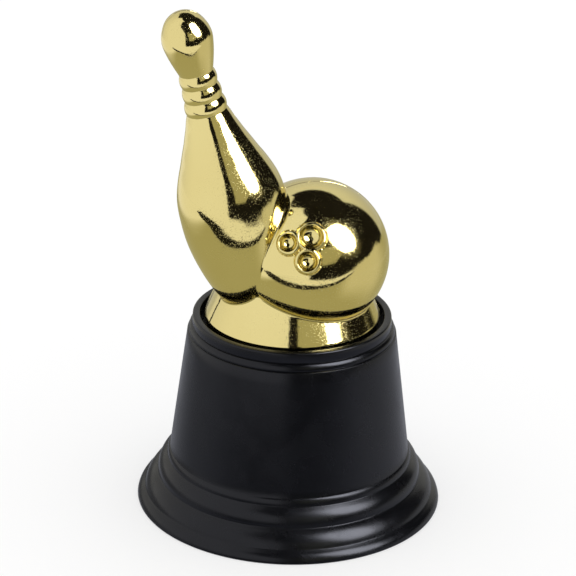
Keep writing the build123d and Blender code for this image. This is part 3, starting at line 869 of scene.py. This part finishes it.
# ---- inner parts -----------------------------------------------------------
zinc, g, b, w = material("zinc_steel")
tone = g.noise(w, 300, 4, 0.6)
g.put(b.inputs["Base Color"], g.mix(g.ramp(tone, 0.3, 0.7), (0.55, 0.56, 0.57), (0.42, 0.42, 0.41)))
b.inputs["Metallic"].default_value = 1.0
g.put(b.inputs["Roughness"], g.ramp(g.noise(w, 900, 3), 0.3, 0.7, 0.24, 0.42))
sep = g.node("ShaderNodeSeparateXYZ")
g.put(sep.inputs[0], w)
turns = g.math("DIVIDE", g.math("ARCTAN2", sep.outputs[1], sep.outputs[0]), 2 * math.pi)
saw = g.math("PINGPONG", g.math("SUBTRACT", g.math("MULTIPLY", sep.outputs[2], 1250.0), turns), 0.5)
radius = g.math("SQRT", g.math("ADD", g.math("MULTIPLY", sep.outputs[0], sep.outputs[0]),
                               g.math("MULTIPLY", sep.outputs[1], sep.outputs[1])))
shank = g.ramp(radius, 0.00262, 0.00252)
thread = g.math("MULTIPLY", saw, shank)
g.put(b.inputs["Normal"], g.bump(g.math("ADD", thread, g.math("MULTIPLY", tone, 0.05)), 0.0006, 1.0))

iron, g, b, w = material("ballast_iron")
tone = g.noise(w, 420, 5, 0.65)
g.put(b.inputs["Base Color"], g.mix(g.ramp(tone, 0.3, 0.7), (0.060, 0.056, 0.052), (0.115, 0.085, 0.066)))
b.inputs["Metallic"].default_value = 0.6
g.put(b.inputs["Roughness"], g.ramp(tone, 0.3, 0.7, 0.55, 0.85))
g.put(b.inputs["Normal"], g.bump(g.noise(w, 1600, 3, 0.6), 0.00012, 1.0))

cover, g, b, w = material("cover_plastic")
tone = g.noise(w, 160, 3)
g.put(b.inputs["Base Color"], g.mix(tone, (0.012, 0.012, 0.013), (0.022, 0.022, 0.023)))
g.put(b.inputs["Roughness"], g.ramp(tone, 0.3, 0.7, 0.5, 0.65))
g.put(b.inputs["Normal"], g.bump(g.noise(w, 2600, 2), 0.00003, 1.0))

# ---- felt ------------------------------------------------------------------
wool, g, b, w = material("felt")
stretch = g.node("ShaderNodeMapping")
g.put(stretch.inputs[0], w)
stretch.inputs["Scale"].default_value = (1.0, 0.28, 1.0)
stretch.inputs["Rotation"].default_value = (0, 0, 0.6)
cross = g.node("ShaderNodeMapping")
g.put(cross.inputs[0], w)
cross.inputs["Scale"].default_value = (0.3, 1.0, 1.0)
cross.inputs["Rotation"].default_value = (0, 0, -0.5)
fib = g.math("MAXIMUM", g.noise(stretch.outputs[0], 5200, 3, 0.6, 1.2), g.noise(cross.outputs[0], 4600, 3, 0.6, 1.2))
clump = g.noise(w, 700, 4, 0.6)
g.put(b.inputs["Base Color"], g.mix(g.ramp(fib, 0.45, 0.75), (0.010, 0.010, 0.011), (0.040, 0.040, 0.043)))
b.inputs["Roughness"].default_value = 0.95
b.inputs["Sheen Weight"].default_value = 0.35
b.inputs["Sheen Roughness"].default_value = 0.5
g.put(b.inputs["Normal"], g.bump(g.math("ADD", fib, g.math("MULTIPLY", clump, 0.8)), 0.00022, 1.0))


def coat(o, m, slot=None):
    if o.material_slots:
        for s in o.material_slots:
            s.material = m
    else:
        o.data.materials.append(m)


coat(front, gold)
coat(rear, gold)
coat(base, black)
coat(felt, wool)
for name in ("figure_bolt", "flat_washer", "lock_washer", "hex_nut", "cover_screws"):
    coat(nodes[name], zinc)
coat(nodes["ballast_weight"], iron)
coat(nodes["bottom_cover"], cover)


# ---------------------------------------------------------------------------
# Studio: soft panels round the object, pale floor
# ---------------------------------------------------------------------------
world = bpy.data.worlds.new("studio")
bpy.context.scene.world = world
world.use_nodes = True
g = Net(world.node_tree)
out = g.node("ShaderNodeOutputWorld")
coord = g.node("ShaderNodeTexCoord").outputs["Generated"]
sep = g.node("ShaderNodeSeparateXYZ")
g.put(sep.inputs[0], coord)
DEG = 180 / math.pi
az = g.math("MULTIPLY", g.math("ARCTAN2", sep.outputs[0], g.math("MULTIPLY", sep.outputs[1], -1.0)), DEG)
el = g.math("MULTIPLY", g.math("ARCSINE", sep.outputs[2]), DEG)


def band(x, lo, hi, soft):
    """1 between lo and hi, either of which may be a socket."""
    def edge(v, sign):
        d = g.math("SUBTRACT", x, v)
        return g.ramp(g.math("MULTIPLY", d, sign), -soft, soft)
    parts = []
    if lo is not None: parts.append(edge(lo, 1.0))
    if hi is not None: parts.append(edge(hi, -1.0))
    out = parts[0]
    for p in parts[1:]:
        out = g.math("MULTIPLY", out, p)
    return out


def panel(light, colour, az0, az1, el0, el1, soft=1.2, soft_el=None):
    m = g.math("MULTIPLY", band(az, az0, az1, soft), band(el, el0, el1, soft_el or soft))
    return g.mix(m, light, colour)


CREAM = (0.965, 0.945, 0.890)
OLIVE = (0.455, 0.432, 0.270)
DARK = (0.010, 0.009, 0.008)


def steps(x, *pairs, net=None):
    """Piecewise linear function of a socket."""
    n = net or g
    out = pairs[0][1]
    for (x0, y0), (x1, y1) in zip(pairs[:-1], pairs[1:]):
        part = n.ramp(x, x0, x1, 0.0, y1 - y0, smooth=False)
        out = n.math("ADD", part, out)
    return out


aaz = g.math("ABSOLUTE", az)
light = g.node("ShaderNodeRGB").outputs[0]
light.default_value = DARK + (1.0,)
# large soft wall on the left
right_edge = g.ramp(el, 25.0, 50.0, -4.0, -35.0)
left_edge = g.ramp(el, 50.0, 62.0, -150.0, -117.0)
wall_l = g.mix(g.ramp(az, -150.0, -80.0), (0.80, 0.78, 0.71), CREAM)
light = panel(light, wall_l, left_edge, right_edge, None, 77.0, 1.0, 2.0)
# backdrop behind the object
back = g.math("MULTIPLY", band(aaz, 137.0, None, 3.0), band(el, None, 45.0, 2.0))
light = g.mix(back, light, g.mix(g.ramp(el, 0.0, 45.0), (0.57, 0.56, 0.50), (0.79, 0.78, 0.72)))
# bright foot of the wall on the right, with an uneven top
lumps = g.math("MULTIPLY", g.math("SUBTRACT", g.noise(coord, 14.0, 4, 0.65), 0.5), 8.0)
top_r = g.math("ADD", lumps, steps(az, (30.0, -17.0), (45.0, -14.0), (55.0, -11.0), (62.0, -8.5), (70.0, -3.5), (84.0, -1.0), (91.0, -2.0),
                                   (97.0, -0.5), (105.0, 1.0), (113.0, 1.5), (118.0, -0.5), (124.0, -4.0), (150.0, -6.0)))
wall_r = g.math("MULTIPLY", band(az, 30.0, 150.0, 6.0), band(el, None, top_r, 2.0))
light = g.mix(wall_r, light, g.mix(g.ramp(az, 105.0, 135.0), (0.69, 0.66, 0.52), OLIVE))
# grey panel beside the key, then the key with a faint glow
panel_low = steps(az, (8.0, 4.0), (30.0, 6.5), (48.0, 8.5), (60.0, 8.5))
light = panel(light, OLIVE, g.ramp(el, 15.0, 26.0, 12.5, 7.5), g.ramp(el, 6.0, 22.0, 34.0, 52.0), panel_low, 31.0, 1.2, 2.0)
dx = g.math("DIVIDE", g.math("SUBTRACT", az, g.ramp(el, 16.0, 56.0, 62.5, 51.5, smooth=False)), g.ramp(el, 18.0, 42.0, 17.0, 22.5))
dy = g.math("DIVIDE", g.math("SUBTRACT", el, 37.3), 20.8)
far = g.math("POWER", g.math("ADD", g.math("POWER", g.math("ABSOLUTE", dx), 3.0),
                             g.math("POWER", g.math("ABSOLUTE", dy), 3.0)), 1 / 3.0)
cloud = g.ramp(g.noise(coord, 60.0, 3, 0.75), 0.40, 0.60, 0.20, 1.0)
light = g.mix(g.math("MULTIPLY", g.ramp(far, 1.60, 1.0, 0.0, 0.70), cloud), light, (0.46, 0.43, 0.30))
light = g.mix(g.ramp(far, 1.05, 0.97), light, (11.0, 10.9, 10.6))
# below the horizon: table top
right_low = g.math("MULTIPLY", g.ramp(el, -55.0, -25.0), g.math("MULTIPLY", band(az, 48.0, None, 14.0), g.ramp(az, 140.0, 105.0)))
table = g.mix(right_low, OLIVE, (0.69, 0.66, 0.52))
zone_low = ((-60.0, -14.3), (-10.0, -14.3), (0.0, -17.2), (30.0, -16.2), (45.0, -13.4), (55.0, -10.5), (64.0, -8.0))
on_table = g.ramp(g.math("SUBTRACT", el, steps(az, *zone_low)), -0.8, -2.6)
light = g.mix(on_table, light, table)

path = g.node("ShaderNodeLightPath")
show = g.node("ShaderNodeBackground")
g.put(show.inputs[0], light)
plain = g.node("ShaderNodeBackground")
plain.inputs[0].default_value = (1, 1, 1, 1)
g.put(plain.inputs[1], g.math("ADD", 1.0, g.math("MULTIPLY", path.outputs["Is Diffuse Ray"], 0.18)))
choose = g.node("ShaderNodeMixShader")
g.put(choose.inputs[0], g.math("MAXIMUM", path.outputs["Is Glossy Ray"], path.outputs["Is Singular Ray"]))
g.t.links.new(plain.outputs[0], choose.inputs[1])
g.t.links.new(show.outputs[0], choose.inputs[2])
g.t.links.new(choose.outputs[0], out.inputs[0])

# floor
bpy.ops.mesh.primitive_plane_add(size=4.0, location=(0, 0, 0))
floor = bpy.context.object
floor.name = "floor"
m = bpy.data.materials.new("floor")
m.use_nodes = True
f = Net(m.node_tree)
fo = f.node("ShaderNodeOutputMaterial")
pale = f.node("ShaderNodeBsdfDiffuse")
pale.inputs[0].default_value = (0.90, 0.90, 0.90, 1)
clear = f.node("ShaderNodeBsdfTransparent")
geo = f.node("ShaderNodeNewGeometry")
at = f.node("ShaderNodeSeparateXYZ")
f.put(at.inputs[0], geo.outputs["Position"])
fx, fy = (f.math("MULTIPLY", at.outputs[i], 1000.0) for i in (0, 1))
away = f.node("ShaderNodeSeparateXYZ")
f.put(away.inputs[0], geo.outputs["Incoming"])
fel = f.math("MULTIPLY", f.math("ARCSINE", away.outputs[2]), -DEG)
faz = f.math("MULTIPLY", f.math("ARCTAN2", f.math("MULTIPLY", away.outputs[0], -1.0), away.outputs[1]), DEG)


def fstep(x, edge, soft):
    """0 below the edge, 1 above it, on the floor."""
    return f.ramp(f.math("SUBTRACT", x, edge), -soft, soft)


def fmul(*parts):
    out = parts[0]
    for p in parts[1:]:
        out = f.math("MULTIPLY", out, p)
    return out


# front edge of the table: a dark line, pale ground beyond it
near_y = steps(fx, (-230.0, -62.0), (-140.0, -72.0), (-79.0, -86.0), (0.0, -103.0), (65.0, -111.5), (97.0, -114.0), (146.0, -126.0), (204.0, -133.0), (260.0, -139.0), net=f)
far_y = steps(fx, (-230.0, -104.0), (-140.0, -122.0), (0.0, -131.0), (65.0, -135.0), (97.0, -139.0), (146.0, -146.0), (204.0, -151.0), (260.0, -154.0), net=f)
start = f.math("MULTIPLY", f.node("ShaderNodeLightPath").outputs["Ray Length"], away.outputs[2])   # height the ray left from
slim = f.ramp(start, 0.074, 0.086, 0.0, 9.5)
near_y = f.math("SUBTRACT", near_y, slim)
far_y = f.math("ADD", far_y, slim)
lowered = f.ramp(f.math("SUBTRACT", fel, steps(faz, *zone_low, net=f)), 1.0, -1.0)
ground = fmul(f.math("SUBTRACT", 1.0, fstep(fy, far_y, 2.0)), f.ramp(fx, 340.0, 270.0))
left_side = f.ramp(fx, -98.0, -146.0)
edge_line = fmul(f.math("SUBTRACT", 1.0, fstep(fy, near_y, 2.0)), fstep(fy, far_y, 2.0), fstep(fx, -205.0, 8.0), f.ramp(fx, 300.0, 240.0))
ground_colour = f.mix(edge_line, CREAM, (0.012, 0.011, 0.008))
cover_m = fmul(lowered, f.math("MAXIMUM", f.math("MAXIMUM", ground, left_side), edge_line))
# close in front the table is dark, seen only at a low angle from the base
reach = f.math("SQRT", f.math("ADD", f.math("MULTIPLY", fx, fx), f.math("MULTIPLY", fy, fy)))
low_zone = fmul(f.ramp(reach, 215.0, 175.0), f.ramp(fel, -18.5, -15.0))
grey = steps(faz, (-150.0, 0.15), (-115.0, 0.24), (-92.0, 0.46), (-76.0, 0.42), (-54.0, 0.18), (-38.0, 0.08), (-15.0, 0.02),
             (18.0, 0.02), (38.0, 0.20), (55.0, 0.46), (78.0, 0.72), (106.0, 0.60), (140.0, 0.40), net=f)
grey_c = f.node("ShaderNodeCombineColor")
for i in range(3):
    f.put(grey_c.inputs[i], grey)
from_base = fmul(f.ramp(start, 0.0415, 0.0402), lowered)
neutral = f.mix(f.ramp(fx, -60.0, 60.0), (0.37, 0.38, 0.42), (0.43, 0.44, 0.49))
glossy_floor = f.node("ShaderNodeEmission")
f.put(glossy_floor.inputs[0], f.mix(low_zone, f.mix(from_base, ground_colour, neutral), grey_c.outputs[0]))
seen = f.node("ShaderNodeMixShader")
f.put(seen.inputs[0], f.math("MAXIMUM", f.math("MAXIMUM", cover_m, from_base), low_zone))
f.t.links.new(clear.outputs[0], seen.inputs[1])
f.t.links.new(glossy_floor.outputs[0], seen.inputs[2])
fpath = f.node("ShaderNodeLightPath")
pickf = f.node("ShaderNodeMixShader")
f.put(pickf.inputs[0], f.math("MAXIMUM", fpath.outputs["Is Glossy Ray"], fpath.outputs["Is Singular Ray"]))
glow_up = f.node("ShaderNodeEmission")
glow_up.inputs[0].default_value = (1.0, 1.0, 1.0, 1.0)
soft = f.node("ShaderNodeMixShader")
soft.inputs[0].default_value = 0.45
f.t.links.new(pale.outputs[0], soft.inputs[1])
f.t.links.new(glow_up.outputs[0], soft.inputs[2])
f.t.links.new(soft.outputs[0], pickf.inputs[1])
f.t.links.new(seen.outputs[0], pickf.inputs[2])
f.t.links.new(pickf.outputs[0], fo.inputs[0])
floor.data.materials.append(m)

# ---------------------------------------------------------------------------
# Camera at the photograph's angle
# ---------------------------------------------------------------------------
yaw, pitch, roll = -0.00165308, 0.412007876, 0.0227117457
fwd = Vector((sin(yaw) * cos(pitch), cos(yaw) * cos(pitch), -sin(pitch)))
right = Vector((cos(yaw), -sin(yaw), 0))
upv = right.cross(fwd)
r2v = right * cos(roll) + upv * sin(roll)
u2v = -right * sin(roll) + upv * cos(roll)
cam = bpy.data.cameras.new("camera")
cam.sensor_width, cam.lens = 36.0, 176.93
cam.clip_start, cam.clip_end = 0.01, 20.0
cam.shift_x, cam.shift_y = -0.5 / 576, 0.5 / 576
camera = bpy.data.objects.new("camera", cam)
bpy.context.scene.collection.objects.link(camera)
m = Matrix((r2v, u2v, -fwd)).transposed().to_4x4()
m.translation = Vector((0, -0.52770, 0.27718))
camera.matrix_world = m
bpy.context.scene.camera = camera
bpy.context.scene.view_settings.view_transform = "Standard"

bpy.context.view_layer.update()
